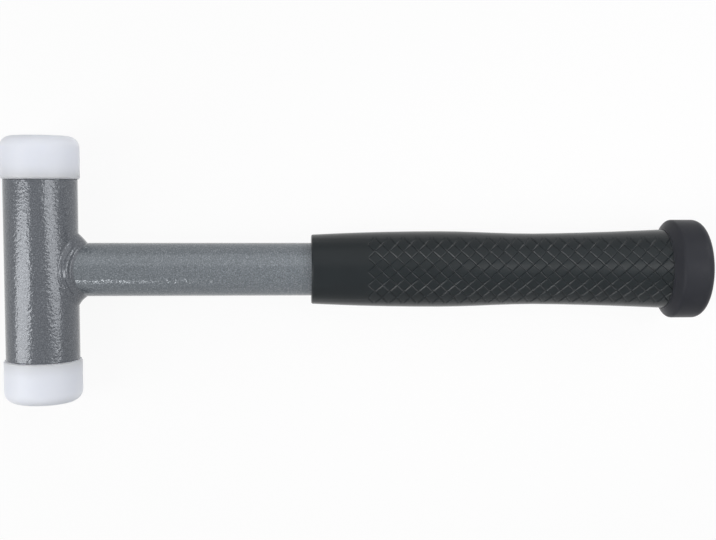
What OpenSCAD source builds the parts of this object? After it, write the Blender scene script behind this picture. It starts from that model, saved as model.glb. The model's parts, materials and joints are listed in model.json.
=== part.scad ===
// Soft face hammer with a shot-filled tube head, lying on its side.
// +X runs along the handle, +Y along the head towards the front face, +Z up.
// Both faces and the butt cap touch the ground at Z = 0.

/* [Head tube] */
// Outside diameter of the head tube
head_od = 33.7; // [32:0.1:42]
// Wall of the head tube
head_wall = 2.6; // [2:0.1:4]
// Length of the head tube
head_len = 84.2; // [72:0.2:110]

/* [Striking faces] */
// How far a face stands out past the head tube all round
face_overhang = 1.05; // [0.2:0.05:2]
// Height of a face beyond the end of the head tube
face_h = 19.9; // [14:0.1:28]
// Radius of the striking edge
face_edge_r = 5.2; // [1:0.1:6.5]
// Chamfer of the face where it meets the head tube
face_lip = 0.7; // [0.3:0.1:1.5]
// Length of the spigot that pushes into the head tube
spigot_len = 12; // [9:0.5:15]
// Lead-in chamfer on the spigot's inner end
spigot_lead = 1; // [0.4:0.1:2]
// Number of relief grooves round the spigot
groove_count = 2; // [1:1:3]
// Width of each relief groove
groove_w = 1.6; // [0.8:0.1:2]
// Depth of each relief groove
groove_depth = 0.6; // [0.3:0.1:1.2]
// Diameter of the moulding core hole in a face
core_d = 14; // [8:0.5:16]
// Depth of the core hole from the spigot's inner end
core_depth = 18; // [12:0.5:22]

/* [Shot chamber] */
// Thickness of the pressed steel cup that closes each end of the chamber
cup_t = 1.5; // [1:0.1:2.5]
// Length of the cup's rim, which points out of the chamber
cup_rim = 4; // [2:0.1:6]
// Diameter of one steel ball
ball_d = 5.4; // [4:0.1:7]
// Free length in the chamber that lets the shot slide
shot_room = 8; // [4:0.5:16]

/* [Handle tube] */
// Outside diameter of the handle tube
handle_od = 25; // [20:0.5:27]
// Wall of the handle tube
handle_wall = 1.5; // [1:0.1:3]

/* [Weld] */
// Leg of the weld bead along the handle tube
weld_leg = 4.2; // [2:0.1:6]
// Leg on the head tube beside the handle
weld_side_leg = 4.6; // [2:0.1:6]
// Leg on the head tube over and under the handle
weld_top_leg = 1.3; // [0.6:0.1:2]
// How far the bead's face stands out at its middle
weld_crown = 0.1; // [0.05:0.05:0.8]

/* [Grip sleeve] */
// Distance from the head's axis to the front of the sleeve
grip_at = 125.8; // [60:0.2:160]
// Length of the sleeve up to the butt cap
grip_len = 169.2; // [130:0.2:220]
// Thickness of the sleeve at its front end
front_t = 3.9; // [2:0.05:6]
// Thickness at the belly
belly_t = 5.55; // [3:0.05:8]
// Distance of the belly from the front end
belly_at = 61; // [40:1:70]
// Thickness at the waist
waist_t = 4.45; // [2:0.05:7]
// Distance of the waist from the front end
waist_at = 106; // [85:1:118]
// Thickness at the rear end
rear_t = 6.45; // [4:0.05:9]
// Rounding of the sleeve's front edge
front_edge_r = 0.8; // [0.3:0.1:1.5]
// Length of the sleeve's tail inside the butt cap
tail_len = 11; // [6:0.5:13]
// Thickness of the tail
tail_t = 2.6; // [1.5:0.1:3.5]

/* [Grip grooves] */
// Distance from the sleeve's front to the first crossing of the grooves
panel_at = 26; // [16:0.5:40]
// Angle from the top, or from the bottom, to the side border of the grooves
panel_turn = 57; // [40:1:65]
// Distance along the handle from one groove to the next
diamond_pitch = 6.7; // [5:0.1:9]
// How far a groove runs along the handle for each millimetre across it
diamond_slope = 1.08; // [0.8:0.02:1.6]
// Which grooves the solid has, every second, third or fourth; those between are surface detail
diamond_step = 2; // [2:1:4]
// Width of a grip groove
diamond_cut_w = 1.2; // [0.8:0.1:1.6]
// Depth of a grip groove
diamond_cut_depth = 0.5; // [0.3:0.05:1]

/* [Butt cap] */
// How far the cap stands out past the rear of the sleeve
cap_rim = 4.7; // [2:0.05:7]
// Slope of the cap's shoulder, from the handle's axis
shoulder_turn = 52; // [40:1:65]
// Rounding of the shoulder's outer edge
shoulder_edge_r = 2; // [0.5:0.1:3]
// Length of the cap
cap_len = 18.8; // [16:0.2:28]
// Rounding of the cap's end edge
cap_edge_r = 4.6; // [2:0.1:6]
// Length of the plug that holds the cap in the handle tube
plug_len = 16; // [8:0.5:30]
// Wall of the hollow plug
plug_wall = 2.5; // [1.5:0.1:4]

/* [Fits] */
// Radial clearance between a spigot or cup and the head tube
press_gap = 0.08; // [0.02:0.01:0.1]
// Clearance between the sleeve, the cap and the handle tube
sleeve_gap = 0.1; // [0.05:0.01:0.2]
// Root gap between the coped handle tube and the head tube
root_gap = 0.1; // [0:0.02:0.3]
// Gap between the shot and whatever surrounds it
shot_gap = 0.3; // [0.1:0.05:0.5]
// Gap between a spigot's end and the cup behind it
cup_gap = 0.3; // [0.1:0.05:1]
// Gap between one ball and the next
ball_gap = 0.1; // [0.05:0.01:0.2]

/* [Hidden] */
$fn = 96;

paint_grey = "#6f757b";
nylon_white = "#e6e6ee";
rubber_black = "#33373a";
bare_steel = "#a6a8aa";

// Depth by which a cutting solid runs past what it cuts
cut = 1;
// How far the bead's edges are buried in the tubes
weld_sink = 0.2;
// Most of the step from the handle up to the head tube that the bead may climb
weld_climb = 0.6;
arc_steps = 12;
sleeve_steps = 5;
weld_steps = 64;
ball_sides = 32;
// How sharply the sleeve swells between its waist and its rear end
rear_flare = 1.5;

// Radii and lengths worked out from the sizes above
head_r = head_od / 2;
bore_r = head_r - head_wall;
face_r = head_r + face_overhang;
spigot_r = bore_r - press_gap;
handle_r = handle_od / 2;
handle_bore_r = handle_r - handle_wall;
sleeve_bore_r = handle_r + sleeve_gap;
rear_r = handle_r + rear_t;
tail_r = handle_r + tail_t;
cap_r = rear_r + cap_rim;

// Places along the handle, from the head's axis
grip_end = grip_at + grip_len;
tube_end = grip_end + tail_len;
cap_end = grip_end + cap_len;

// The cup sits just behind the spigot, and the shot lies between the two cups
cup_outer = head_len / 2 - spigot_len - cup_gap;
chamber_half = cup_outer - cup_rim - cup_t;
ball_pitch = ball_d + ball_gap;
shot_reach = bore_r - shot_gap - ball_d / 2;
shot_rings = floor(shot_reach / ball_pitch);
// How far the charge sinks until it lies on the bottom of the bore
shot_settle = shot_reach - shot_rings * ball_pitch;
shot_layers = floor((2 * chamber_half - shot_room) / ball_pitch);

// The hammer tips until the edge of the cap's shoulder rests level with the two faces
shoulder_len = cap_rim / tan(shoulder_turn) + shoulder_edge_r * tan(shoulder_turn / 2);
shoulder_x = grip_end + shoulder_len;
edge_axis_r = cap_r - shoulder_edge_r;
rest_tilt = acos((face_r - shoulder_edge_r) / norm([edge_axis_r, shoulder_x])) - atan2(shoulder_x, edge_axis_r);
reach_x = (cap_end - cap_edge_r) * cos(rest_tilt) + (cap_r - cap_edge_r) * sin(rest_tilt) + cap_edge_r;
rest_x = (face_r - reach_x) / 2;

// Points of an arc about a centre, from one angle to another
function arc(centre, r, from, to) =
    [for (i = [0:arc_steps]) let (a = from + (to - from) * i / arc_steps) centre + r * [cos(a), sin(a)]];

// Outside radius of the sleeve at a distance from its front end
function sleeve_r(x) =
    handle_r + (
        x < belly_at
            ? belly_t - (belly_t - front_t) * pow(1 - x / belly_at, 2)
        : x < waist_at
            ? waist_t + (belly_t - waist_t) * (1 + cos(180 * (x - belly_at) / (waist_at - belly_at))) / 2
            : waist_t + (rear_t - waist_t) * pow((x - waist_at) / (grip_len - waist_at), rear_flare)
    );

// Evenly spaced places from one distance to another, without the last
function steps(from, to) = [for (i = [0:sleeve_steps - 1]) from + (to - from) * i / sleeve_steps];

// Distances from the front end at which the sleeve's outline has a point
swell = concat(steps(front_edge_r, belly_at), steps(belly_at, waist_at), steps(waist_at, grip_len), [grip_len]);

// Lays what is built about the origin on the ground
module laid_down() {
    translate([rest_x, 0, face_r]) rotate([0, -rest_tilt, 0]) children();
}

// Turns a shape built along Z so that it runs along the head
module along_head() {
    rotate([-90, 0, 0]) children();
}

// Turns a shape built along Z so that it runs along the handle
module along_handle() {
    rotate([0, 90, 0]) children();
}

module head_tube() {
    color(paint_grey) laid_down() along_head() difference() {
        cylinder(h = head_len, r = head_r, center = true);
        cylinder(h = head_len + 2 * cut, r = bore_r, center = true);
    }
}

// The handle tube, coped to the curve of the head tube
module handle_tube() {
    color(paint_grey) laid_down() difference() {
        along_handle() difference() {
            cylinder(h = tube_end, r = handle_r);
            translate([0, 0, -cut]) cylinder(h = tube_end + 2 * cut, r = handle_bore_r);
        }
        along_head() cylinder(h = head_len, r = head_r + root_gap, center = true);
    }
}

// One cross-section of the weld bead at an angle round the handle: its toes are
// just under the two tubes' surfaces, its crown is between them and its root is inside both
function weld_section(a) =
    let (
        top_leg = min(weld_top_leg, weld_climb * (head_r - handle_r)),
        leg = top_leg + (weld_side_leg - top_leg) * pow(sin(a), 2),
        toe_r = handle_r + leg,
        toe_head_r = head_r - weld_sink,
        toe_handle_r = handle_r - weld_sink,
        handle_toe = [sqrt(pow(head_r + weld_leg, 2) - pow(handle_r * cos(a), 2)), toe_handle_r],
        head_toe = [sqrt(pow(toe_head_r, 2) - pow(toe_r * cos(a), 2)), toe_r],
        run = handle_toe - head_toe,
        crown = (handle_toe + head_toe) / 2 + weld_crown * [-run[1], run[0]] / norm(run),
        root = [head_toe[0] - weld_sink, handle_r - handle_wall / 2]
    )
    [for (p = [root, [handle_toe[0], root[1]], handle_toe, crown, head_toe, [root[0], toe_r]])
        [p[0], p[1] * sin(a), p[1] * cos(a)]];

module weld_bead() {
    sections = [for (i = [0:weld_steps - 1]) weld_section(360 * i / weld_steps)];
    sides = len(sections[0]);
    faces = [for (i = [0:weld_steps - 1], j = [0:sides - 1])
        let (k = (i + 1) % weld_steps, m = (j + 1) % sides)
        each [
            [i * sides + j, i * sides + m, k * sides + m],
            [i * sides + j, k * sides + m, k * sides + j]
        ]];
    color(paint_grey) laid_down() difference() {
        polyhedron([for (s = sections) each s], faces);
        along_head() cylinder(h = head_len, r = head_r, center = true);
        along_handle() cylinder(h = tube_end, r = handle_r);
    }
}

// Half outline of a face: Z = 0 is the end of the head tube
module face_outline() {
    groove_pitch = (spigot_len - spigot_lead) / (groove_count + 1);
    difference() {
        polygon(concat(
            [[0, face_h]],
            arc([face_r - face_edge_r, face_h - face_edge_r], face_edge_r, 90, 0),
            [
                [face_r, face_lip],
                [face_r - face_lip, 0],
                [spigot_r, 0],
                [spigot_r, spigot_lead - spigot_len],
                [spigot_r - spigot_lead, -spigot_len],
                [core_d / 2, -spigot_len],
                [core_d / 2, core_depth - spigot_len],
                [0, core_depth - spigot_len]
            ]
        ));
        for (i = [1:groove_count]) {
            translate([spigot_r - groove_depth, -i * groove_pitch - groove_w / 2])
                square([groove_depth + cut, groove_w]);
        }
    }
}

module soft_face() {
    color(nylon_white) along_head() translate([0, 0, head_len / 2]) rotate_extrude() face_outline();
}

module front_face() {
    laid_down() soft_face();
}

module back_face() {
    laid_down() mirror([0, 1, 0]) soft_face();
}

// A pressed cup, its floor towards the shot and its rim towards the face
module shot_cup() {
    color(bare_steel) along_head() difference() {
        translate([0, 0, chamber_half]) cylinder(h = cup_t + cup_rim, r = bore_r - press_gap);
        translate([0, 0, chamber_half + cup_t]) cylinder(h = cup_rim + cut, r = bore_r - press_gap - cup_t);
    }
}

module front_shot_cup() {
    laid_down() shot_cup();
}

module back_shot_cup() {
    laid_down() mirror([0, 1, 0]) shot_cup();
}

// One flat layer of balls: one in the middle and rings of six, twelve and so on
module shot_layer() {
    sphere(d = ball_d, $fn = ball_sides);
    if (shot_rings > 0) {
        for (ring = [1:shot_rings], side = [0:5], i = [0:ring - 1]) {
            corner = ring * [cos(60 * side), sin(60 * side)];
            along = i * [cos(60 * side + 120), sin(60 * side + 120)];
            translate(concat(ball_pitch * (corner + along), 0)) sphere(d = ball_d, $fn = ball_sides);
        }
    }
}

// The charge of balls, every second layer turned by half a step
module steel_shot() {
    color(bare_steel) laid_down() along_head() for (layer = [0:shot_layers - 1]) {
        translate([0, shot_settle, (layer - (shot_layers - 1) / 2) * ball_pitch])
            rotate(layer % 2 * 30) shot_layer();
    }
}

// The sleeve before its grooves are cut, with its front end at the origin
module plain_sleeve() {
    edge_centre = [sleeve_r(front_edge_r) - front_edge_r, front_edge_r];
    along_handle() rotate_extrude() polygon(concat(
        [[sleeve_bore_r, 0]],
        arc(edge_centre, front_edge_r, -90, 0),
        [for (x = swell) if (x > front_edge_r) [sleeve_r(x), x]],
        [[tail_r, grip_len], [tail_r, grip_len + tail_len], [sleeve_bore_r, grip_len + tail_len]]
    ));
}

// What lies under the floors of the grooves
module groove_core() {
    along_handle() rotate_extrude() polygon(concat(
        [[0, 0]],
        [for (x = swell) [sleeve_r(x) - diamond_cut_depth, x]],
        [[rear_r - diamond_cut_depth, grip_len + cut], [0, grip_len + cut]]
    ));
}

// Two families of straight grooves as seen from above, ended at the panel's border
module groove_plan() {
    panel_half = sleeve_r(belly_at) * sin(panel_turn);
    panel_len = grip_len - panel_at;
    pitch = diamond_step * diamond_pitch;
    overrun = ceil(diamond_slope * panel_half / pitch);
    bar_len = 2 * (panel_half + cut) * norm([1, diamond_slope]);
    intersection() {
        translate([panel_at, -panel_half]) square([panel_len + cut / 2, 2 * panel_half]);
        for (side = [-1, 1], k = [-overrun:ceil(panel_len / pitch) + overrun]) {
            translate([panel_at + k * pitch, 0]) rotate(side * atan2(1, diamond_slope))
                square([bar_len, diamond_cut_w], center = true);
        }
    }
}

// The same panel of grooves is cut from above and from below
module grip_sleeve() {
    color(rubber_black) laid_down() translate([grip_at, 0, 0]) difference() {
        plain_sleeve();
        difference() {
            linear_extrude(2 * (rear_r + cut), center = true) groove_plan();
            groove_core();
        }
    }
}

// The cap that closes the handle: a socket for the sleeve's tail round a hollow plug
module butt_cap() {
    socket_depth = tail_len + sleeve_gap;
    plug_r = handle_bore_r - sleeve_gap;
    color(rubber_black) laid_down() along_handle() translate([0, 0, grip_end]) rotate_extrude() {
        difference() {
            polygon(concat(
                [[0, 0], [rear_r, 0]],
                arc([edge_axis_r, shoulder_len], shoulder_edge_r, -shoulder_turn, 0),
                arc([cap_r - cap_edge_r, cap_len - cap_edge_r], cap_edge_r, 0, 90),
                [[0, cap_len]]
            ));
            translate([-cut, -cut]) square([tail_r + sleeve_gap + cut, socket_depth + cut]);
        }
        translate([plug_r - plug_wall, socket_depth - plug_len]) square([plug_wall, plug_len + sleeve_gap]);
    }
}

head_tube();
weld_bead();
handle_tube();
front_face();
back_face();
front_shot_cup();
back_shot_cup();
steel_shot();
grip_sleeve();
butt_cap();
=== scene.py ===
"""Looks of a soft face hammer that lies on its side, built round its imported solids.

Sizes are in millimetres and are turned to metres where a mesh is made. +X runs along the handle, +Y along
the head towards the front face, and +Z up from the ground.
"""

import json
import logging
import math
from collections.abc import Iterable, Sequence
from dataclasses import dataclass, field
from enum import Enum

import bmesh
import bpy
from bmesh.types import BMesh, BMVert
from bpy.types import ID, Material, Mesh, Node, NodeSocket, NodeTree, Object
from mathutils import Euler, Matrix, Vector


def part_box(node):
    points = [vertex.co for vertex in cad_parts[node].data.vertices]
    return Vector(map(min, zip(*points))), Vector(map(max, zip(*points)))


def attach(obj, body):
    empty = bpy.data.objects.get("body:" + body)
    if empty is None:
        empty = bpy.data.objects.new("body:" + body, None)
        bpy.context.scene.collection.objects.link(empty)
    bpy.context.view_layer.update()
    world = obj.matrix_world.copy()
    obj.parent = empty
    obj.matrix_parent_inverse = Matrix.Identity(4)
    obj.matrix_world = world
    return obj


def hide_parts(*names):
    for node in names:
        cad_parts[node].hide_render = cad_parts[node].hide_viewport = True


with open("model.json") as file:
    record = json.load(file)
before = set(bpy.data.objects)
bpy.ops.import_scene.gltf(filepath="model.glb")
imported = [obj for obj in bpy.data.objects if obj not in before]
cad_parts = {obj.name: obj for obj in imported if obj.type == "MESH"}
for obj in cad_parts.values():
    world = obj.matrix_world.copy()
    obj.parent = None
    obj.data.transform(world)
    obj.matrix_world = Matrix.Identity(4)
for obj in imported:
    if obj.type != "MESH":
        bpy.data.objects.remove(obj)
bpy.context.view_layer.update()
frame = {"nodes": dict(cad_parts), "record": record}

log = logging.getLogger("soft_face_hammer")
MM = 0.001

# In millimetres: places nearer than NEAR are one, and CLEAR is between any clearance and any wall
NEAR = 0.05
CLEAR = 0.5

# In millimetres: how near the doubles of a mesh lie, and how thin its slivers are
DOUBLE = 0.002
SLIVER = 0.001

Outline = list[tuple[float, float]]
Rows = list[tuple[float, float, float]]
Source = Node | NodeSocket


class Body(str, Enum):
    """The bodies that pieces ride on."""

    HAMMER = "hammer"
    FRONT = "front_insert"
    BACK = "back_insert"
    SHOT = "shot_charge"


class Slot(str, Enum):
    """The record's material slots."""

    PAINT = "hammertone_paint"
    NYLON = "nylon"
    CUP = "cup_steel"
    SHOT = "shot_steel"
    GRIP = "grip_rubber"
    CAP = "cap_rubber"


class HeadEnd(Enum):
    """The two ends of the head, as the sign of Y."""

    FRONT = 1
    BACK = -1


class LampShape(str, Enum):
    """The outlines of a soft lamp."""

    BOX = "RECTANGLE"
    OVAL = "ELLIPSE"


# Nodes and colours


def linear(hex_colour: str) -> tuple[float, float, float, float]:
    """Turns an sRGB hex colour to linear light.

    Args:
        hex_colour: six hex digits after a hash sign.

    Returns:
        Red, green, blue and an alpha of one.
    """
    parts = [int(hex_colour[i:i + 2], 16) / 255 for i in (1, 3, 5)]
    light = [c / 12.92 if c <= 0.04045 else ((c + 0.055) / 1.055) ** 2.4 for c in parts]
    return (light[0], light[1], light[2], 1.0)


def add_node(tree: NodeTree, kind: str, inputs: dict | None = None, **settings: str) -> Node:
    """Adds a node to a tree.

    Args:
        tree: the tree that gets the node.
        kind: the node's type name.
        inputs: a value, or a socket or node to link, for each input by name or number; of a node, its first
            output in use is linked.
        settings: properties to set on the node.

    Returns:
        The new node.
    """
    node = tree.nodes.new(kind)
    for name, value in settings.items():
        setattr(node, name, value)
    for key, value in (inputs or {}).items():
        if isinstance(value, Node):
            value = next(output for output in value.outputs if output.enabled)
        if isinstance(value, NodeSocket):
            tree.links.new(value, node.inputs[key])
        else:
            node.inputs[key].default_value = value
    return node


def new_material(name: str) -> tuple[Material, NodeTree]:
    """Makes an empty node material.

    Args:
        name: the material's name.

    Returns:
        The material and its node tree.
    """
    material = bpy.data.materials.new(name)
    material.use_nodes = True
    material.node_tree.nodes.clear()
    return material, material.node_tree


def per_mm(size_mm: float) -> float:
    """Gives the texture scale at which one cell of a pattern measures a size in millimetres."""
    return 1 / (size_mm * MM)


def new_tree(name: str, sizes: Iterable[str]) -> tuple[NodeTree, dict[str, Source]]:
    """Starts a geometry tree whose inputs are a mesh and some sizes.

    Args:
        name: the tree's name.
        sizes: the names of the sizes.

    Returns:
        The tree, and what it is given, by name.
    """
    tree = bpy.data.node_groups.new(name, "GeometryNodeTree")
    for in_out in ("INPUT", "OUTPUT"):
        tree.interface.new_socket("Geometry", in_out=in_out, socket_type="NodeSocketGeometry")
    for size in sizes:
        tree.interface.new_socket(size, in_out="INPUT", socket_type="NodeSocketFloat")
    given = add_node(tree, "NodeGroupInput").outputs
    return tree, {socket.name: socket for socket in given}


def run_tree(piece: Object, tree: NodeTree, shape: Source, finish: Material,
             sizes: dict[str, float]) -> None:
    """Ends a geometry tree, runs it on a piece and keeps the result as a plain mesh.

    Args:
        piece: the object whose mesh is the tree's input.
        tree: the tree.
        shape: what gives the piece's shape in the tree.
        finish: the material that the shape gets.
        sizes: a value for each of the tree's sizes, by name.
    """
    real = add_node(tree, "GeometryNodeRealizeInstances", {"Geometry": shape})
    smooth = add_node(tree, "GeometryNodeSetShadeSmooth", {"Geometry": real})
    coated = add_node(tree, "GeometryNodeSetMaterial", {"Geometry": smooth, "Material": finish})
    add_node(tree, "NodeGroupOutput", {"Geometry": coated})
    modifier = piece.modifiers.new(tree.name, "NODES")
    modifier.node_group = tree
    for socket in tree.interface.items_tree:
        if socket.name in sizes:
            modifier[socket.identifier] = sizes[socket.name]
    piece.update_tag()
    result = bpy.data.meshes.new_from_object(piece.evaluated_get(bpy.context.evaluated_depsgraph_get()))
    piece.modifiers.clear()
    piece.data = result


# Finishes


@dataclass(frozen=True)
class HammertoneEnamel:
    """Grey hammertone enamel on steel tube: pebbled where it pooled, with metal flake that glints in it.

    The real flake is too fine to show, so it is drawn coarser.
    """

    name: str
    low: str
    high: str
    flake: str
    pebble: float = 1.3
    relief: float = 0.17
    flake_size: float = 0.55
    mottle: tuple[float, float] = (0.35, 0.65)
    glint: tuple[float, float] = (0.58, 0.74)
    glint_share: float = 0.7
    roughness: float = 0.165
    metallic: float = 0.2
    ior: float = 1.6

    def material(self) -> Material:
        """Builds the material: mottled colour, flake and a pebbled bump.

        Returns:
            The material.
        """
        material, tree = new_material(self.name)
        place = add_node(tree, "ShaderNodeTexCoord").outputs["Object"]
        pebbles = add_node(tree, "ShaderNodeTexNoise", {
            "Vector": place, "Scale": per_mm(self.pebble), "Detail": 1.0})
        grains = add_node(tree, "ShaderNodeTexNoise", {
            "Vector": place, "Scale": per_mm(self.flake_size), "Detail": 2.0})
        mottle = add_node(tree, "ShaderNodeValToRGB", {"Fac": grains})
        for stop, at, tint in zip(mottle.color_ramp.elements, self.mottle, (self.low, self.high)):
            stop.position = at
            stop.color = linear(tint)
        glint = add_node(tree, "ShaderNodeMapRange", {
            "Value": grains, "From Min": self.glint[0], "From Max": self.glint[1],
            "To Max": self.glint_share})
        colour = add_node(tree, "ShaderNodeMix", {
            0: glint, 6: mottle, 7: linear(self.flake)}, data_type="RGBA")
        bump = add_node(tree, "ShaderNodeBump", {
            "Strength": 1.0, "Distance": self.relief * MM, "Height": pebbles})
        shader = add_node(tree, "ShaderNodeBsdfPrincipled", {
            "Base Color": colour, "Metallic": self.metallic, "Roughness": self.roughness, "IOR": self.ior,
            "Normal": bump})
        add_node(tree, "ShaderNodeOutputMaterial", {"Surface": shader})
        return material


@dataclass(frozen=True)
class MouldedNylon:
    """Milky white nylon, moulded: it lets light in a little, so less comes back out where the dark tube lies
    behind it; that greying towards the tube is painted shade.
    """

    body: str = "#dee1e9"
    # painted shade: the greyer tint where the dark tube behind the nylon lets less light back out
    by_tube: str = "#cdd0d6"
    tube_end: float = 42.1
    fade: float = 9.0
    swirl: float = 14.0
    waver: float = 4.0
    depth: float = 10.0
    roughness: float = 0.5
    ior: float = 1.53

    def material(self) -> Material:
        """Builds the material: painted shade, a greyer tint towards the tube, with a faint swirl that wavers
        its edge.

        Returns:
            The material.
        """
        material, tree = new_material("moulded_nylon")
        place = add_node(tree, "ShaderNodeTexCoord").outputs["Object"]
        parts = add_node(tree, "ShaderNodeSeparateXYZ", {"Vector": place})
        reach = add_node(tree, "ShaderNodeMath", {0: parts.outputs["Y"]}, operation="ABSOLUTE")
        swirl = add_node(tree, "ShaderNodeTexNoise", {
            "Vector": place, "Scale": per_mm(self.swirl), "Detail": 2.0})
        wavered = add_node(tree, "ShaderNodeMath", {
            0: swirl, 1: self.waver * MM, 2: reach}, operation="MULTIPLY_ADD")
        # painted shade: the colour greys from the body tint to the tube's shade tint as the nylon nears the
        # tube
        painted_shade_fade = add_node(tree, "ShaderNodeMapRange", {
            "Value": wavered, "From Min": self.tube_end * MM,
            "From Max": (self.tube_end + self.fade) * MM}, interpolation_type="SMOOTHSTEP")
        colour = add_node(tree, "ShaderNodeMix", {
            0: painted_shade_fade, 6: linear(self.by_tube), 7: linear(self.body)}, data_type="RGBA")
        shader = add_node(tree, "ShaderNodeBsdfPrincipled", {
            "Base Color": colour, "Roughness": self.roughness, "IOR": self.ior, "Subsurface Weight": 1.0,
            "Subsurface Radius": (1.0, 1.0, 1.0), "Subsurface Scale": self.depth * MM})
        add_node(tree, "ShaderNodeOutputMaterial", {"Surface": shader})
        return material


@dataclass(frozen=True)
class MouldedRubber:
    """Black moulded rubber: a dull sheen, a slow bloom of grey and the grain of the mould.

    The mould's real grain is too fine to show, so it is drawn coarser.
    """

    name: str
    dark: str
    worn: str
    grain: float
    relief: float
    roughness: float
    bloom: float = 22.0
    gloss: float = 0.2
    ior: float = 1.5

    def material(self) -> Material:
        """Builds the material: a slow bloom of grey and a grained bump.

        Returns:
            The material.
        """
        material, tree = new_material(self.name)
        place = add_node(tree, "ShaderNodeTexCoord").outputs["Object"]
        bloom = add_node(tree, "ShaderNodeTexNoise", {
            "Vector": place, "Scale": per_mm(self.bloom), "Detail": 3.0})
        colour = add_node(tree, "ShaderNodeMix", {
            0: bloom, 6: linear(self.dark), 7: linear(self.worn)}, data_type="RGBA")
        grain = add_node(tree, "ShaderNodeTexNoise", {
            "Vector": place, "Scale": per_mm(self.grain), "Detail": 2.0})
        bump = add_node(tree, "ShaderNodeBump", {
            "Strength": 1.0, "Distance": self.relief * MM, "Height": grain})
        shader = add_node(tree, "ShaderNodeBsdfPrincipled", {
            "Base Color": colour, "Roughness": self.roughness, "IOR": self.ior,
            "Specular IOR Level": self.gloss, "Normal": bump})
        add_node(tree, "ShaderNodeOutputMaterial", {"Surface": shader})
        return material


@dataclass(frozen=True)
class BareSteel:
    """Bare steel inside the head: dull grey metal with a thin film of oil that stains it in patches."""

    name: str
    bright: str
    stained: str
    stain: float
    roughness: float
    smoother: float = 0.08
    rougher: float = 0.12

    def material(self) -> Material:
        """Builds the material: metal with patches of stain that are also rougher.

        Returns:
            The material.
        """
        material, tree = new_material(self.name)
        place = add_node(tree, "ShaderNodeTexCoord").outputs["Object"]
        patch = add_node(tree, "ShaderNodeTexNoise", {
            "Vector": place, "Scale": per_mm(self.stain), "Detail": 4.0})
        colour = add_node(tree, "ShaderNodeMix", {
            0: patch, 6: linear(self.bright), 7: linear(self.stained)}, data_type="RGBA")
        rough = add_node(tree, "ShaderNodeMapRange", {
            "Value": patch, "To Min": self.roughness - self.smoother,
            "To Max": self.roughness + self.rougher})
        shader = add_node(tree, "ShaderNodeBsdfPrincipled", {
            "Base Color": colour, "Metallic": 1.0, "Roughness": rough})
        add_node(tree, "ShaderNodeOutputMaterial", {"Surface": shader})
        return material


# Shapes


@dataclass(frozen=True)
class Corner:
    """One corner of a turned outline: its place along the axis, its radius and its rounding."""

    along: float
    radius: float
    round: float = 0.0


def rounded(corners: Sequence[Corner], closed: bool, steps: int = 8) -> Outline:
    """Rounds the corners of an outline.

    Args:
        corners: the corners in order.
        closed: whether the last corner joins the first.
        steps: pieces in each rounding.

    Returns:
        The outline's points.
    """
    points: Outline = []
    count = len(corners)
    for i, corner in enumerate(corners):
        here = Vector((corner.along, corner.radius))
        if corner.round == 0 or (not closed and i in (0, count - 1)):
            points.append(tuple(here))
            continue
        before = corners[i - 1]
        after = corners[(i + 1) % count]
        back = (Vector((before.along, before.radius)) - here).normalized()
        ahead = (Vector((after.along, after.radius)) - here).normalized()
        half = back.angle(ahead) / 2
        centre = here + (back + ahead).normalized() * (corner.round / math.sin(half))
        start = here + back * (corner.round / math.tan(half)) - centre
        end = here + ahead * (corner.round / math.tan(half)) - centre
        sweep = start.angle_signed(end)
        for k in range(steps + 1):
            turn = -sweep * k / steps
            points.append((centre.x + start.x * math.cos(turn) - start.y * math.sin(turn),
                           centre.y + start.x * math.sin(turn) + start.y * math.cos(turn)))
    return points


def between(stations: Outline, at: float, eased: bool = False) -> float:
    """Reads a value off a row of stations.

    Args:
        stations: places in order, each with its value.
        at: the place to read, where the last value holds past the last station.
        eased: whether the value eases from one station to the next, in place of a straight line.

    Returns:
        The value there.
    """
    for (x0, v0), (x1, v1) in zip(stations, stations[1:]):
        if at <= x1:
            share = (at - x0) / (x1 - x0)
            if eased:
                share = (1 - math.cos(math.pi * share)) / 2
            return v0 + (v1 - v0) * share
    return stations[-1][1]


def put_in_scene(name: str, data: ID) -> Object:
    """Makes an object of a mesh, a lamp or a camera.

    Args:
        name: the object's name.
        data: what it holds.

    Returns:
        The object, at the origin.
    """
    made = bpy.data.objects.new(name, data)
    bpy.context.scene.collection.objects.link(made)
    return made


def finish_mesh(name: str, bm: BMesh, place: Matrix, crease: float) -> Object:
    """Turns a mesh in millimetres into a placed object at the origin.

    Args:
        name: the object's name.
        bm: the mesh, which is freed.
        place: where the mesh's own axes lie in the part's frame.
        crease: the angle in degrees above which an edge stays sharp.

    Returns:
        The new object.
    """
    bmesh.ops.remove_doubles(bm, verts=bm.verts, dist=DOUBLE)
    bmesh.ops.dissolve_degenerate(bm, edges=bm.edges, dist=SLIVER)
    bmesh.ops.recalc_face_normals(bm, faces=bm.faces)
    bmesh.ops.transform(bm, matrix=place @ Matrix.Scale(MM, 4), verts=bm.verts)
    mesh = bpy.data.meshes.new(name)
    bm.to_mesh(mesh)
    bm.free()
    mesh.shade_smooth()
    mesh.set_sharp_from_angle(angle=math.radians(crease))
    return put_in_scene(name, mesh)


def loft(name: str, rings: Sequence[Sequence[Vector]], place: Matrix, closed: bool,
         crease: float = 32.0) -> Object:
    """Skins a row of rings, each of which goes all the way round.

    Args:
        name: the object's name.
        rings: the rings, each with as many points as the others, in millimetres.
        place: where the rings' own axes lie in the part's frame.
        closed: whether the last ring joins the first.
        crease: the angle in degrees above which an edge stays sharp.

    Returns:
        The new object.
    """
    bm = bmesh.new()
    rows = [[bm.verts.new(point) for point in ring] for ring in rings]
    sides = len(rows[0])
    for i in range(len(rows) if closed else len(rows) - 1):
        near, far = rows[i], rows[(i + 1) % len(rows)]
        for j in range(sides):
            k = (j + 1) % sides
            bm.faces.new((near[j], near[k], far[k], far[j]))
    return finish_mesh(name, bm, place, crease)


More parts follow.
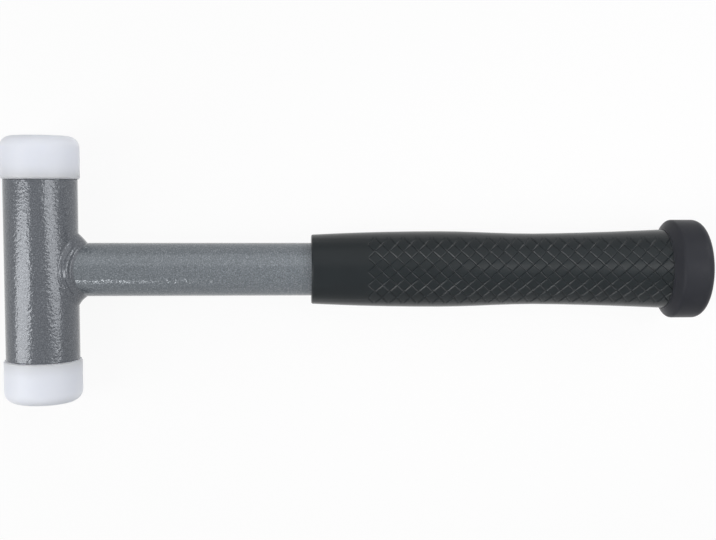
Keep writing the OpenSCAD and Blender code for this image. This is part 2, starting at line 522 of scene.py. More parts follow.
def turned(name: str, outline: Outline, place: Matrix, closed: bool, sides: int = 160) -> Object:
    """Turns an outline about the X axis of a place.

    Args:
        name: the object's name.
        outline: points along and off the axis, in millimetres.
        place: where the axis lies in the part's frame.
        closed: whether the last point joins the first, as in a tube.
        sides: points round the axis.

    Returns:
        The new object.
    """
    turns = [2 * math.pi * j / sides for j in range(sides)]
    rings = [[Vector((x, r * math.sin(a), r * math.cos(a))) for a in turns] for x, r in outline]
    return loft(name, rings, place, closed)


def dress(piece: Object, material: Material, body: Body, node: str) -> None:
    """Gives a piece its material and its body, and puts it in a solid's place.

    Args:
        piece: the finished piece.
        material: its finish.
        body: the body that it rides on.
        node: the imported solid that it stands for.
    """
    piece.data.materials.clear()
    piece.data.materials.append(material)
    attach(piece, body.value)
    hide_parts(node)
    low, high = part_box(node)
    ends = ((piece.bound_box[0], low), (piece.bound_box[6], high))
    off = max(abs(mine - solid) for pair in ends for mine, solid in zip(*pair))
    log.info("%s: %d faces, rides on %s, box off the solid by %.2f mm",
             piece.name, len(piece.data.polygons), body.value, off / MM)


# How the hammer lies


@dataclass(frozen=True)
class Lie:
    """Where the two axes of the hammer cross, and where the handle's axis ends."""

    crossing: Vector
    tube_end: Vector

    @classmethod
    def from_frame(cls) -> "Lie":
        """Reads the axes from the striking faces' mounts and from the end of the handle tube.

        Returns:
            The hammer's lie.
        """
        places = [Vector(m["pos_m"]) for m in frame["record"]["mounts"]]
        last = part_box("handle_tube")[1].x
        ring = [v.co for v in frame["nodes"]["handle_tube"].data.vertices if v.co.x > last - MM]
        middle = [(min(p[i] for p in ring) + max(p[i] for p in ring)) / 2 for i in range(3)]
        return cls((places[0] + places[1]) / 2, Vector(middle))

    def along_handle(self) -> Matrix:
        """Finds where the handle lies.

        Returns:
            The place whose X axis runs down the handle and whose Z axis points up from it.
        """
        ahead = (self.tube_end - self.crossing).normalized()
        side = Vector((0, 1, 0))
        up = ahead.cross(side)
        return Matrix.Translation(self.crossing) @ Matrix((ahead, side, up)).transposed().to_4x4()

    def along_head(self, end: HeadEnd) -> Matrix:
        """Gives the place whose X axis runs from the middle of the head out through one end."""
        return Matrix.Translation(self.crossing) @ Matrix.Rotation(end.value * math.pi / 2, 4, "Z")


@dataclass(frozen=True)
class Section:
    """Where a turned solid's points lie along and off its axis, and how far they reach, in millimetres."""

    points: Outline
    start: float
    end: float
    inner: float
    outer: float


def section(node: str, place: Matrix, beside: float = 0.0) -> Section:
    """Finds where a turned solid's points lie along and off an axis.

    Args:
        node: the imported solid.
        place: the place whose X axis is the solid's axis.
        beside: keeps only the points that lie this many times further to the side than up or down.

    Returns:
        The points and their reach.
    """
    back = place.inverted()
    points = [back @ v.co for v in frame["nodes"][node].data.vertices]
    kept = [(p.x / MM, math.hypot(p.y, p.z) / MM) for p in points if abs(p.y) >= beside * abs(p.z)]
    along, radii = zip(*kept)
    return Section(kept, min(along), max(along), min(radii), max(radii))


# Sub-assemblies


@dataclass
class Head:
    """The steel head tube and the weld that joins the handle to it.

    The weld's relief is that of its two passes: shares of the way from the head to the handle, and how far
    the bead stands off a flat face there.
    """

    lie: Lie
    paint: Material
    end_round: float = 0.5
    bore_break: float = 0.3
    weld_leg: float = 4.2
    weld_side_leg: float = 4.6
    weld_top_leg: float = 1.3
    weld_crown: float = 0.1
    weld_sag: float = 0.5
    weld_relief: Outline = field(default_factory=lambda: [
        (0.0, 0.0), (0.06, 0.16), (0.14, -0.04), (0.26, 0.22), (0.36, 0.25), (0.55, 1.1), (0.59, 1.05),
        (0.84, -0.15), (1.0, 0.0)])
    weld_sections: int = 144
    weld_steps: int = 40

    def build(self) -> None:
        """Builds and dresses the tube and the weld."""
        place = self.lie.along_head(HeadEnd.FRONT)
        tube = section("head_tube", place)
        outline = rounded([
            Corner(-tube.end, tube.inner, self.bore_break),
            Corner(-tube.end, tube.outer, self.end_round),
            Corner(tube.end, tube.outer, self.end_round),
            Corner(tube.end, tube.inner, self.bore_break),
        ], closed=True)
        dress(turned("steel_head_tube", outline, place, closed=True, sides=192),
              self.paint, Body.HAMMER, "head_tube")
        self.build_weld(tube.outer)

    def build_weld(self, head_r: float) -> None:
        """Builds the weld bead round the foot of the handle.

        Args:
            head_r: the head tube's radius.
        """
        place = self.lie.along_handle()
        handle_r = section("handle_tube", place).outer
        rings = [self.weld_section(2 * math.pi * i / self.weld_sections, head_r, handle_r)
                 for i in range(self.weld_sections)]
        dress(loft("weld_collar", rings, place, closed=True, crease=60.0),
              self.paint, Body.HAMMER, "weld_bead")

    def weld_section(self, turn: float, head_r: float, handle_r: float) -> list[Vector]:
        """Gives one closed cross-section of the bead.

        Args:
            turn: the angle round the handle, from the top.
            head_r: the head tube's radius.
            handle_r: the handle tube's radius.

        Returns:
            Its points, from the head over the crown to the handle and back under the bead.
        """
        leg = self.weld_top_leg + (self.weld_side_leg - self.weld_top_leg) * math.sin(turn) ** 2
        toe_r = handle_r + leg
        rise = math.cos(turn)
        head_toe = Vector((math.sqrt(head_r ** 2 - (toe_r * rise) ** 2), toe_r))
        handle_toe = Vector((math.sqrt((head_r + self.weld_leg) ** 2 - (handle_r * rise) ** 2), handle_r))
        root = Vector((math.sqrt(head_r ** 2 - (handle_r * rise) ** 2), handle_r))
        run = handle_toe - head_toe
        out = Vector((-run.y, run.x)).normalized()
        bow = self.weld_crown - self.weld_sag * max(0.0, -math.sin(turn)) ** 2
        points = []
        for k in range(self.weld_steps + 1):
            share = k / self.weld_steps
            relief = between(self.weld_relief, share, eased=True) * rise ** 2
            points.append(head_toe + run * share + out * (bow * math.sin(math.pi * share) + relief))
        points.append(root)
        return [Vector((p.x, p.y * math.sin(turn), p.y * rise)) for p in points]


@dataclass
class SoftFace:
    """One nylon striking face, with its spigot inside the head tube."""

    lie: Lie
    nylon: Material
    end: HeadEnd
    edge_round: float = 5.2
    lip: float = 0.7
    lip_soft: float = 0.25
    spigot_lead: float = 1.0
    groove_count: int = 2
    groove_w: float = 1.6
    groove_depth: float = 0.6
    core_d: float = 14.0
    core_depth: float = 18.0
    core_round: float = 1.0

    def build(self) -> None:
        """Builds and dresses the face."""
        name = f"{self.end.name.lower()}_face"
        place = self.lie.along_head(self.end)
        face = section(name, place)
        seam = section("head_tube", place).end
        spigot_r = max(r for x, r in face.points if x < seam - self.lip)
        core_r = self.core_d / 2
        core_end = face.start + self.core_depth
        corners = [
            Corner(face.end, 0),
            Corner(face.end, face.outer, self.edge_round),
            Corner(seam + self.lip, face.outer, self.lip_soft),
            Corner(seam, face.outer - self.lip, self.lip_soft),
            Corner(seam, spigot_r),
        ]
        pitch = (seam - face.start - self.spigot_lead) / (self.groove_count + 1)
        for i in range(1, self.groove_count + 1):
            for side, depth in ((1, 0), (1, 1), (-1, 1), (-1, 0)):
                corners.append(Corner(seam - i * pitch + side * self.groove_w / 2,
                                      spigot_r - depth * self.groove_depth))
        corners += [
            Corner(face.start + self.spigot_lead, spigot_r),
            Corner(face.start, spigot_r - self.spigot_lead),
            Corner(face.start, core_r),
            Corner(core_end, core_r, self.core_round),
            Corner(core_end, 0),
        ]
        dress(turned(f"nylon_{name}", rounded(corners, closed=False), place, closed=False),
              self.nylon, Body[self.end.name], name)


@dataclass
class ShotChamber:
    """The loose steel shot inside the head, and the pressed cup that closes each end of it."""

    lie: Lie
    cup_steel: Material
    shot_steel: Material
    cup_wall: float = 1.5
    cup_bend: float = 1.0
    rim_round: float = 0.2
    ball_d: float = 5.4
    ball_gap: float = 0.1
    ball_cuts: int = 2
    rings: int = 2
    layers: int = 7
    settle: float = 0.25

    def build(self) -> None:
        """Builds and dresses the two cups and the shot."""
        for end in HeadEnd:
            self.build_cup(end)
        self.build_shot()

    def build_cup(self, end: HeadEnd) -> None:
        """Builds one pressed cup.

        Args:
            end: the end of the head that it is at.
        """
        name = end.name.lower()
        place = self.lie.along_head(end)
        cup = section(f"{name}_shot_cup", place)
        outline = rounded([
            Corner(cup.start, 0),
            Corner(cup.start, cup.outer, self.cup_bend),
            Corner(cup.end, cup.outer, self.rim_round),
            Corner(cup.end, cup.outer - self.cup_wall, self.rim_round),
            Corner(cup.start + self.cup_wall, cup.outer - self.cup_wall, self.cup_bend / 2),
            Corner(cup.start + self.cup_wall, 0),
        ], closed=False, steps=5)
        dress(turned(f"{name}_pressed_cup", outline, place, closed=False, sides=96),
              self.cup_steel, Body.HAMMER, f"{name}_shot_cup")

    def ball_centres(self) -> list[Vector]:
        """Lays the balls in flat layers of rings, with every second layer turned half a step.

        Returns:
            The middle of every ball.
        """
        pitch = self.ball_d + self.ball_gap
        centres = []
        for layer in range(self.layers):
            along = (layer - (self.layers - 1) / 2) * pitch
            offset = math.radians(layer % 2 * 30)
            spots = [Vector((0, 0))]
            for ring in range(1, self.rings + 1):
                for side in range(6):
                    turn = math.radians(60 * side) + offset
                    step = turn + math.radians(120)
                    corner = ring * Vector((math.cos(turn), math.sin(turn)))
                    spots += [corner + i * Vector((math.cos(step), math.sin(step))) for i in range(ring)]
            centres += [Vector((along, s.x * pitch, -s.y * pitch - self.settle)) for s in spots]
        return centres

    def build_shot(self) -> None:
        """Builds the shot as balls set on points by a node tree."""
        mesh = bpy.data.meshes.new("shot_points")
        mesh.from_pydata([c * MM for c in self.ball_centres()], [], [])
        mesh.transform(self.lie.along_head(HeadEnd.FRONT))
        piece = put_in_scene("loose_steel_shot", mesh)
        sizes = {"Ball Radius": self.ball_d / 2 * MM}
        tree, given = new_tree("balls_on_points", sizes)
        ball = add_node(tree, "GeometryNodeMeshIcoSphere", {
            "Radius": given["Ball Radius"], "Subdivisions": self.ball_cuts})
        placed = add_node(tree, "GeometryNodeInstanceOnPoints", {
            "Points": given["Geometry"], "Instance": ball})
        run_tree(piece, tree, placed, self.shot_steel, sizes)
        dress(piece, self.shot_steel, Body.SHOT, "steel_shot")


@dataclass
class Handle:
    """The steel handle tube, coped to the head."""

    lie: Lie
    paint: Material
    root_gap: float = 0.1
    sides: int = 160
    cells: int = 12

    def build(self) -> None:
        """Builds and dresses the tube."""
        place = self.lie.along_handle()
        tube = section("handle_tube", place)
        cope_r = section("head_tube", self.lie.along_head(HeadEnd.FRONT)).outer + self.root_gap
        turns = [2 * math.pi * j / self.sides for j in range(self.sides)]
        shares = [i / self.cells for i in range(self.cells + 1)]
        rings = []
        for r, row in ((tube.outer, shares), (tube.inner, shares[::-1])):
            cope = [math.sqrt(cope_r ** 2 - (r * math.cos(a)) ** 2) for a in turns]
            rings += [[Vector((c + (tube.end - c) * share, r * math.sin(a), r * math.cos(a)))
                       for c, a in zip(cope, turns)] for share in row]
        dress(loft("steel_handle_tube", rings, place, closed=True),
              self.paint, Body.HAMMER, "handle_tube")


@dataclass
class Grip:
    """The rubber sleeve with its diamond grooves, and the flared cap that closes the handle."""

    lie: Lie
    sleeve_rubber: Material
    cap_rubber: Material
    front_round: float = 0.8
    front_steps: int = 5
    belly_share: float = 0.6
    strip_lean: float = 3.0
    panel_at: float = 26.0
    panel_turn: float = 57.0
    pitch: float = 6.7
    slope: float = 1.08
    groove_w: float = 0.85
    groove_depth: float = 0.3
    land_edge: float = 0.1
    border: float = 0.35
    cut_slack: float = 0.0005
    seam_gap: float = 0.01
    strip_cells: int = 9
    collar_cells: int = 10
    cap_turn: float = 52.0
    cap_shoulder: float = 2.0
    cap_lip: float = 0.35
    cap_lip_len: float = 0.8
    cap_round: float = 4.6
    cap_wall: float = 2.5
    plug_round: float = 0.4
    plug_root: float = 0.6

    def __post_init__(self) -> None:
        """Reads the sleeve's sizes from its solid, with its skin from the plain strips at its sides."""
        self.place = self.lie.along_handle()
        self.solid = section("grip_sleeve", self.place)
        self.tail_r = max(r for x, r in self.solid.points if x > self.solid.end - CLEAR)
        self.cap = section("butt_cap", self.place)
        self.cap_start = min(x for x, r in self.cap.points if r > self.tail_r + CLEAR)
        self.length = self.cap_start - self.solid.start
        strips = section("grip_sleeve", self.place, beside=self.strip_lean).points
        skin = {round(x - self.solid.start, 1): r for x, r in sorted(strips, key=lambda point: point[1])
                if x < self.cap_start + NEAR and r > self.solid.inner + CLEAR}
        self.skin = sorted(skin.items())
        self.rear_r = between(self.skin, self.length)
        belly_r = max(r for x, r in self.skin if x < self.length * self.belly_share)
        self.panel_half = belly_r * math.sin(math.radians(self.panel_turn))
        self.strip = belly_r * (math.pi - 2 * math.radians(self.panel_turn))
        self.spacing = 2 * self.panel_half + self.strip

    def build(self) -> None:
        """Builds and dresses the sleeve and the cap."""
        self.build_sleeve()
        self.build_cap()

    def turn_of(self, around: float, radius: float) -> float:
        """Gives the angle round the handle of a place on the flat sheet.

        The panels are laid round by their breadth, so that their grooves are straight as seen from above.

        Args:
            around: the place across the flat sheet, from the middle of the upper panel.
            radius: the sleeve's outside radius there.

        Returns:
            The angle in radians, from the top.
        """
        half = round(around / self.spacing)
        local = around - half * self.spacing
        if abs(local) <= self.panel_half:
            angle = math.asin(abs(local) / radius)
        else:
            edge = math.asin(self.panel_half / radius)
            angle = edge + (abs(local) - self.panel_half) / self.strip * (math.pi - 2 * edge)
        return half * math.pi + math.copysign(angle, local)

    def flat_panel(self) -> BMesh:
        """Makes one flat panel whose edges follow the grooves, cut to the panel's border.

        Returns:
            The panel, in millimetres.
        """
        stretch = math.hypot(1, self.slope)
        half_w = self.groove_w / 2 * stretch
        edge = half_w + self.land_edge * stretch
        # Each line across one pitch, and which wall of the groove starts there, if one does
        steps = ((-half_w, "near"), (0.0, "far"), (half_w, ""), (edge, ""), (self.pitch / 2, ""),
                 (self.pitch - edge, ""))
        length = self.length - self.panel_at
        first = -math.ceil(self.slope * self.panel_half / self.pitch) - 1
        last = math.ceil(length / self.pitch) - first
        lines = [(k * self.pitch + s, wall) for k in range(first, last) for s, wall in steps]
        bm = bmesh.new()
        made: dict[tuple[int, int], BMVert] = {}
        for i, (a, wall_a) in enumerate(lines[:-1]):
            for j, (b, wall_b) in enumerate(lines[:-1]):
                beyond = abs(a - b) / (2 * self.slope) > self.panel_half + self.pitch
                if beyond or not -self.pitch < (a + b) / 2 < length + self.pitch:
                    continue
                keys = ((i, j), (i + 1, j), (i + 1, j + 1), (i, j + 1))
                for key in keys:
                    if key not in made:
                        rising, falling = (lines[k][0] for k in key)
                        made[key] = bm.verts.new(((rising + falling) / 2 + self.panel_at,
                                                  (rising - falling) / (2 * self.slope), 0))
                quad = [made[key] for key in keys]
                if not (wall_a and wall_b):
                    bm.faces.new(quad)
                    continue
                # Where two grooves cross, each cell is split from the middle of the crossing outwards
                if wall_a != wall_b:
                    quad = quad[1:] + quad[:1]
                bm.faces.new(quad[:3])
                bm.faces.new((quad[0], quad[2], quad[3]))
        for place, normal, clear in (
                ((self.panel_at + self.border, 0, 0), (-1, 0, 0), False),
                ((0, self.panel_half - self.border, 0), (0, 1, 0), False),
                ((0, self.border - self.panel_half, 0), (0, -1, 0), False),
                ((self.panel_at, 0, 0), (-1, 0, 0), True),
                ((self.length, 0, 0), (1, 0, 0), True),
                ((0, self.panel_half, 0), (0, 1, 0), True),
                ((0, -self.panel_half, 0), (0, -1, 0), True)):
            bmesh.ops.bisect_plane(bm, geom=bm.verts[:] + bm.edges[:] + bm.faces[:], dist=self.cut_slack,
                                   plane_co=place, plane_no=normal, clear_outer=clear)
        return bm

    def flat_sheet(self) -> tuple[Mesh, Rows]:
        """Lays the whole sleeve out flat: two grooved panels, the plain strips, the collar, tail and bore.

        Returns:
            The flat mesh in millimetres, and the rows that lie past its rear edge, a millimetre apart.
        """
        bm = self.flat_panel()
        copy = bmesh.ops.duplicate(bm, geom=bm.verts[:] + bm.edges[:] + bm.faces[:])["geom"]
        bmesh.ops.translate(bm, vec=(0, self.spacing, 0), verts=[g for g in copy if isinstance(g, BMVert)])
        rows = sorted({round(v.co.x, 3) for v in bm.verts if abs(v.co.y - self.panel_half) < SLIVER})
        for side in (0, 1):
            first = self.panel_half + side * self.spacing
            columns = [first + self.strip * i / self.strip_cells for i in range(self.strip_cells + 1)]
            self.add_grid(bm, rows, columns)
        front_columns, rear_columns = (
            sorted({round(v.co.y, 3) for v in bm.verts if abs(v.co.x - x) < SLIVER})
            for x in (self.panel_at, self.length))
        collar = [self.front_round + (self.panel_at - self.front_round) * i / self.collar_cells
                  for i in range(self.collar_cells + 1)]
        self.add_grid(bm, collar, front_columns)
        rear, front = self.end_rows()
        places = [self.length + i for i in range(len(rear) + len(front))]
        tail = self.add_grid(bm, places[:len(rear)], rear_columns)
        mouth = self.add_grid(bm, places[len(rear):], front_columns)
        self.zip_rows(bm, tail[-1], mouth[0])
        bmesh.ops.remove_doubles(bm, verts=bm.verts, dist=self.seam_gap)
        mesh = bpy.data.meshes.new("flat_sleeve")
        bm.to_mesh(mesh)
        bm.free()
        return mesh, rear + front

    @staticmethod
    def add_grid(bm: BMesh, rows: Sequence[float], columns: Sequence[float]) -> list[list[BMVert]]:
        """Adds a flat grid of faces to a mesh.

        Args:
            bm: the mesh.
            rows: places along X.
            columns: places along Y.

        Returns:
            The grid's vertices, row by row.
        """
        points = [[bm.verts.new((x, y, 0)) for y in columns] for x in rows]
        for i in range(len(rows) - 1):
            for j in range(len(columns) - 1):
                bm.faces.new((points[i][j], points[i + 1][j], points[i + 1][j + 1], points[i][j + 1]))
        return points

    @staticmethod
    def zip_rows(bm: BMesh, near: Sequence[BMVert], far: Sequence[BMVert]) -> None:
        """Joins two rows that have unlike columns with triangles.

        Args:
            bm: the mesh.
            near: one row, in order of Y.
            far: the other row, in order of Y.
        """
        i = j = 0
        while i < len(near) - 1 or j < len(far) - 1:
            if j == len(far) - 1 or (i < len(near) - 1 and near[i + 1].co.y <= far[j + 1].co.y):
                bm.faces.new((near[i], far[j], near[i + 1]))
                i += 1
            else:
                bm.faces.new((near[i], far[j], far[j + 1]))
                j += 1

    def end_rows(self) -> tuple[Rows, Rows]:
        """Lists the rows of the tail and the bore, which close the sleeve from its rear edge to its front.

        Returns:
            The rows from the rear edge to the rear of the bore, and those from its front to the front edge:
            each has its place along the sleeve, its radius, and the outside radius that it turns with.
        """
        bore, tail = self.solid.inner, self.solid.end - self.solid.start
        rear = [(self.length, self.rear_r), (self.length, self.tail_r), (tail, self.tail_r), (tail, bore)]
        outside = between(self.skin, self.front_round)
        front = [(0.0, bore)]
        for k in range(self.front_steps + 1):
            turn = math.pi / 2 * k / self.front_steps
            front.append((self.front_round * (1 - math.cos(turn)),
                          outside - self.front_round * (1 - math.sin(turn))))
        return [(*row, self.rear_r) for row in rear], [(*row, outside) for row in front]

    def build_sleeve(self) -> None:
        """Wraps the flat sheet round the handle and presses the grooves into it with a node tree."""
        mesh, ends = self.flat_sheet()
        stored: dict[str, list[float]] = {"along": [], "land": [], "turn": [], "press": []}
        for v in mesh.vertices:
            x, y = v.co.x, v.co.y
            past = x > self.length + CLEAR
            skin_r = between(self.skin, x)
            along, land, outside = ends[round(x - self.length)] if past else (x, skin_r, skin_r)
            local = abs(y - round(y / self.spacing) * self.spacing)
            inside = min(self.panel_half - local, x - self.panel_at) / self.border
            press = 0.0 if past else max(0.0, min(1.0, inside))
            for values, value in zip(stored.values(), (along, land, self.turn_of(y, outside), press)):
                values.append(value)
        for name, values in stored.items():
            mesh.attributes.new(name, "FLOAT", "POINT").data.foreach_set("value", values)
        piece = put_in_scene("rubber_grip_sleeve", mesh)
        sizes = {"Start": self.panel_at, "Pitch": self.pitch, "Slope": self.slope, "Spacing": self.spacing,
                 "Groove Width": self.groove_w, "Groove Depth": self.groove_depth, "Seam Gap": self.seam_gap}
        tree, shape = self.press_tree(sizes, stored)
        run_tree(piece, tree, shape, self.sleeve_rubber, sizes)
        bm = bmesh.new()
        bm.from_mesh(piece.data)
        bmesh.ops.translate(bm, vec=(self.solid.start, 0, 0), verts=bm.verts)
        name = piece.name
        bpy.data.objects.remove(piece)
        dress(finish_mesh(name, bm, self.place, crease=30.0),
              self.sleeve_rubber, Body.HAMMER, "grip_sleeve")

    @staticmethod
    def press_tree(sizes: Iterable[str], stored: Iterable[str]) -> tuple[NodeTree, Source]:
        """Builds the node tree that presses two families of V-grooves and wraps the sheet.

        Args:
            sizes: the names of the tree's sizes.
            stored: the names of the values that are stored on the sheet's points.

        Returns:
            The tree, and the wrapped sheet in it.
        """
        tree, known = new_tree("pressed_diamonds", sizes)
        for name in stored:
            known[name] = add_node(tree, "GeometryNodeInputNamedAttribute", {"Name": name},
                                   data_type="FLOAT")
        position = add_node(tree, "GeometryNodeInputPosition")
        known |= add_node(tree, "ShaderNodeSeparateXYZ", {"Vector": position}).outputs.items()
        # Each step's result, its operation and what it works on
        for result, operation, *operands in (
                ("half spacing", "MULTIPLY", "Spacing", 0.5),
                ("minus half", "MULTIPLY", "Spacing", -0.5),
                ("across", "WRAP", "Y", "half spacing", "minus half"),
                ("lean", "MULTIPLY", "across", "Slope"),
                ("from start", "SUBTRACT", "X", "Start"),
                ("half pitch", "MULTIPLY", "Pitch", 0.5),
                ("rising line", "ADD", "from start", "lean"),
                ("falling line", "SUBTRACT", "from start", "lean"),
                ("to rising", "PINGPONG", "rising line", "half pitch"),
                ("to falling", "PINGPONG", "falling line", "half pitch"),
                ("to nearest", "MINIMUM", "to rising", "to falling"),
                ("stretch squared", "MULTIPLY_ADD", "Slope", "Slope", 1.0),
                ("stretch", "SQRT", "stretch squared"),
                ("off middle", "DIVIDE", "to nearest", "stretch"),
                ("half width", "MULTIPLY", "Groove Width", 0.5),
                ("share", "DIVIDE", "off middle", "half width"),
                ("share left", "SUBTRACT", 1.0, "share"),
                ("open", "MAXIMUM", "share left", 0.0),
                ("full depth", "MULTIPLY", "open", "Groove Depth"),
                ("depth", "MULTIPLY", "full depth", "press"),
                ("radius", "SUBTRACT", "land", "depth"),
                ("sine", "SINE", "turn"),
                ("cosine", "COSINE", "turn"),
                ("side", "MULTIPLY", "radius", "sine"),
                ("up", "MULTIPLY", "radius", "cosine")):
            known[result] = add_node(tree, "ShaderNodeMath", {
                i: known.get(operand, operand) for i, operand in enumerate(operands)}, operation=operation)
        wrapped = add_node(tree, "ShaderNodeCombineXYZ", {
            "X": known["along"], "Y": known["side"], "Z": known["up"]})
        moved = add_node(tree, "GeometryNodeSetPosition", {
            "Geometry": known["Geometry"], "Position": wrapped})
        closed = add_node(tree, "GeometryNodeMergeByDistance", {
            "Geometry": moved, "Distance": known["Seam Gap"]})
        return tree, closed

    def build_cap(self) -> None:
        """Builds the flared cap, its socket for the sleeve's tail and its hollow plug."""
        cap = self.cap
        socket_r = min(r for x, r in cap.points if abs(x - self.cap_start) < NEAR and r > self.tail_r)
        socket_end = max(x for x, r in cap.points if abs(r - socket_r) < NEAR)
        plug_r = max(r for x, r in cap.points if x < cap.start + CLEAR)
        plug_bore = plug_r - self.cap_wall
        lip_r = self.rear_r + self.cap_lip
        run = (cap.outer - self.rear_r) / math.tan(math.radians(self.cap_turn))
        outline = rounded([
            Corner(cap.end, 0),
            Corner(cap.end, cap.outer, self.cap_round),
            Corner(self.cap_start + run, cap.outer, self.cap_shoulder),
            Corner(self.cap_start + self.cap_lip_len, lip_r, self.cap_lip / 2),
            Corner(self.cap_start, lip_r, self.cap_lip / 2),
            Corner(self.cap_start, socket_r),
            Corner(socket_end, socket_r),
            Corner(socket_end, plug_r),
            Corner(cap.start, plug_r, self.plug_round),
            Corner(cap.start, plug_bore, self.plug_round),
            Corner(socket_end, plug_bore, self.plug_root),
            Corner(socket_end, 0),
        ], closed=False, steps=10)
        dress(turned("rubber_butt_cap", outline, self.place, closed=False),
              self.cap_rubber, Body.HAMMER, "butt_cap")


# Studio


@dataclass(frozen=True)
class Softbox:
    """A soft lamp that is aimed at a place on the hammer."""

    name: str
    place: tuple[float, float, float]
    aim: tuple[float, float, float]
    size: tuple[float, float]
    watts: float
    shape: LampShape = LampShape.BOX
    roll: float = 0.0
    spread: float = 180.0

    def build(self) -> None:
        """Builds the lamp, rolled about the line to its aim, its light held to the spread as by a grid."""
        data = bpy.data.lights.new(self.name, "AREA")
        data.shape = self.shape.value
        data.size, data.size_y = self.size[0] * MM, self.size[1] * MM
        data.energy = self.watts
        data.spread = math.radians(self.spread)
        lamp = put_in_scene(self.name, data)
        lamp.location = Vector(self.place) * MM
        facing = (Vector(self.aim) - Vector(self.place)).to_track_quat("-Z", "Y").to_matrix()
        lamp.rotation_euler = (facing @ Matrix.Rotation(math.radians(self.roll), 3, "Z")).to_euler()


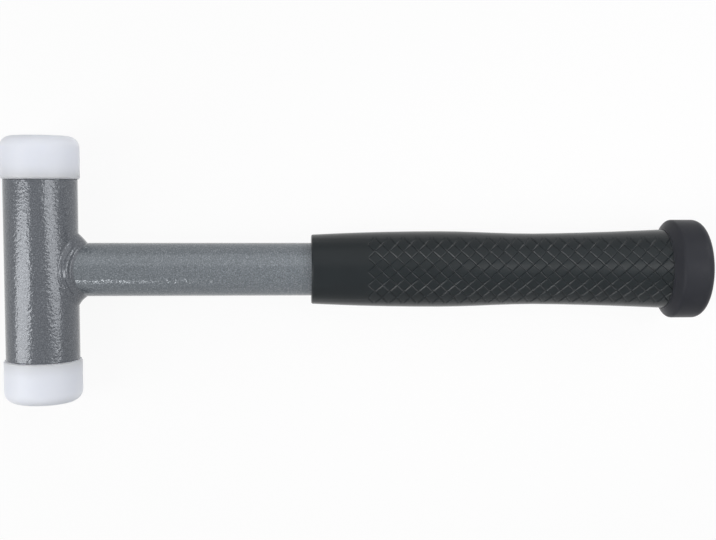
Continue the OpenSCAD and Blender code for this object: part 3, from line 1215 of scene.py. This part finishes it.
@dataclass(frozen=True)
class Studio:
    """The pale floor, the light and the camera at the photograph's place."""

    camera_at: tuple[float, float, float] = (-41.2, 36.9, 527.3)
    camera_turn: tuple[float, float, float] = (-4.216, -4.631, 0.166)
    focal_px: float = 1070.6
    photo_w: int = 716
    sensor: float = 36.0
    floor_size: float = 6000.0
    floor_colour: str = "#e0e0e0"
    floor_glow: float = 0.92
    sky: float = 0.26
    backdrop: float = 0.94

    def build(self) -> None:
        """Builds the floor, world, lamps and camera."""
        self.build_floor()
        self.build_world()
        self.build_lamps()
        self.build_camera()

    def build_lamps(self) -> None:
        """Builds the lamps: an oval one for each light strip on the head, and the others for the rest."""
        grip_lamps = [
            Softbox(f"grip_gridbox_{i}", place=(-430, across, 690), aim=(100, 0, 25), size=(120, 220),
                    watts=0.014, spread=20.0)
            for i, across in enumerate((-600, -350, -100, 150))]
        for lamp in (
                Softbox("left_softbox", place=(-764, -131, 519), aim=(-148, -100, 17), size=(448, 843),
                        watts=4.15, shape=LampShape.OVAL, roll=18.1),
                Softbox("right_softbox", place=(583, 12, 769), aim=(-148, 0, 17), size=(388, 997),
                        watts=3.1, shape=LampShape.OVAL, roll=-29.9),
                Softbox("low_softbox", place=(700, 480, 380), aim=(-40, 0, 20), size=(400, 350), watts=1.9),
                Softbox("front_strip", place=(-330, -765, 660), aim=(-118, -10, 30), size=(60, 40),
                        watts=0.36),
                *grip_lamps,
                Softbox("back_softbox", place=(150, 650, 760), aim=(-40, 0, 17), size=(1500, 1000),
                        watts=2.7)):
            lamp.build()

    def build_camera(self) -> None:
        """Builds the camera, and leaves colours as they are written."""
        data = bpy.data.cameras.new("photo_camera")
        data.sensor_width = self.sensor
        data.lens = self.focal_px * self.sensor / self.photo_w
        camera = put_in_scene("photo_camera", data)
        camera.location = Vector(self.camera_at) * MM
        camera.rotation_euler = Euler([math.radians(a) for a in self.camera_turn])
        bpy.context.scene.camera = camera
        bpy.context.scene.view_settings.view_transform = "Standard"

    def seen_rays(self, tree: NodeTree) -> Source:
        """Gives one for rays from the camera and for those that a glossy or clear surface sends on.

        Args:
            tree: the tree that asks.

        Returns:
            The node that gives it.
        """
        path = add_node(tree, "ShaderNodeLightPath").outputs
        mirrored = add_node(tree, "ShaderNodeMath", {
            0: path["Is Glossy Ray"], 1: path["Is Transmission Ray"]}, operation="MAXIMUM")
        return add_node(tree, "ShaderNodeMath", {0: path["Is Camera Ray"], 1: mirrored}, operation="MAXIMUM")

    def build_floor(self) -> None:
        """Builds the pale floor, which glows white to the eye and keeps a soft shadow."""
        half = self.floor_size / 2 * MM
        mesh = bpy.data.meshes.new("floor")
        mesh.from_pydata([(-half, -half, 0), (half, -half, 0), (half, half, 0), (-half, half, 0)], [],
                         [(0, 1, 2, 3)])
        floor = put_in_scene("floor", mesh)
        material, tree = new_material("pale_floor")
        paper = add_node(tree, "ShaderNodeBsdfDiffuse", {"Color": linear(self.floor_colour)})
        glow = add_node(tree, "ShaderNodeEmission", {"Strength": 1.0})
        share = add_node(tree, "ShaderNodeMath", {
            0: self.seen_rays(tree), 1: self.floor_glow}, operation="MULTIPLY")
        mixed = add_node(tree, "ShaderNodeMixShader", {0: share, 1: paper, 2: glow})
        add_node(tree, "ShaderNodeOutputMaterial", {"Surface": mixed})
        mesh.materials.append(material)

    def build_world(self) -> None:
        """Builds a plain world: to the eye as white as the far floor, and dimmer as a light."""
        world = bpy.data.worlds.new("studio")
        world.use_nodes = True
        tree = world.node_tree
        tree.nodes.clear()
        strength = add_node(tree, "ShaderNodeMapRange", {
            "Value": self.seen_rays(tree), "To Min": self.sky, "To Max": self.backdrop})
        back = add_node(tree, "ShaderNodeBackground", {"Color": linear("#ffffff"), "Strength": strength})
        add_node(tree, "ShaderNodeOutputWorld", {"Surface": back})
        bpy.context.scene.world = world


def main() -> None:
    """Builds the pieces in order, then the studio."""
    logging.basicConfig(level=logging.INFO, format="%(message)s")
    lie = Lie.from_frame()
    head_paint = HammertoneEnamel("hammertone_enamel_head", "#494d54", "#65696f", "#7f848b").material()
    # painted light: the handle's paint is a lighter copy of the head's same enamel, for the brighter light
    # that the handle catches from overhead
    lit_handle_paint = HammertoneEnamel("hammertone_enamel_handle_lit", "#575d62", "#73797f", "#8f959b").material()
    nylon = MouldedNylon().material()
    sleeve = MouldedRubber("grip_rubber_moulded", "#181d1f", "#1e2326",
                           grain=0.5, relief=0.012, roughness=0.26).material()
    cap = MouldedRubber("cap_rubber_moulded", "#2a2b30", "#343539",
                        grain=0.7, relief=0.008, roughness=0.36, gloss=0.06).material()
    cup = BareSteel("pressed_sheet_steel", "#a3a5a7", "#86888a", stain=5.0, roughness=0.35).material()
    shot = BareSteel("steel_shot_bare", "#adafb1", "#8c8e90", stain=3.0, roughness=0.3).material()
    Head(lie, head_paint).build()
    Handle(lie, lit_handle_paint).build()
    for end in HeadEnd:
        SoftFace(lie, nylon, end).build()
    ShotChamber(lie, cup, shot).build()
    Grip(lie, sleeve, cap).build()
    Studio().build()


if __name__ == "__main__":
    main()
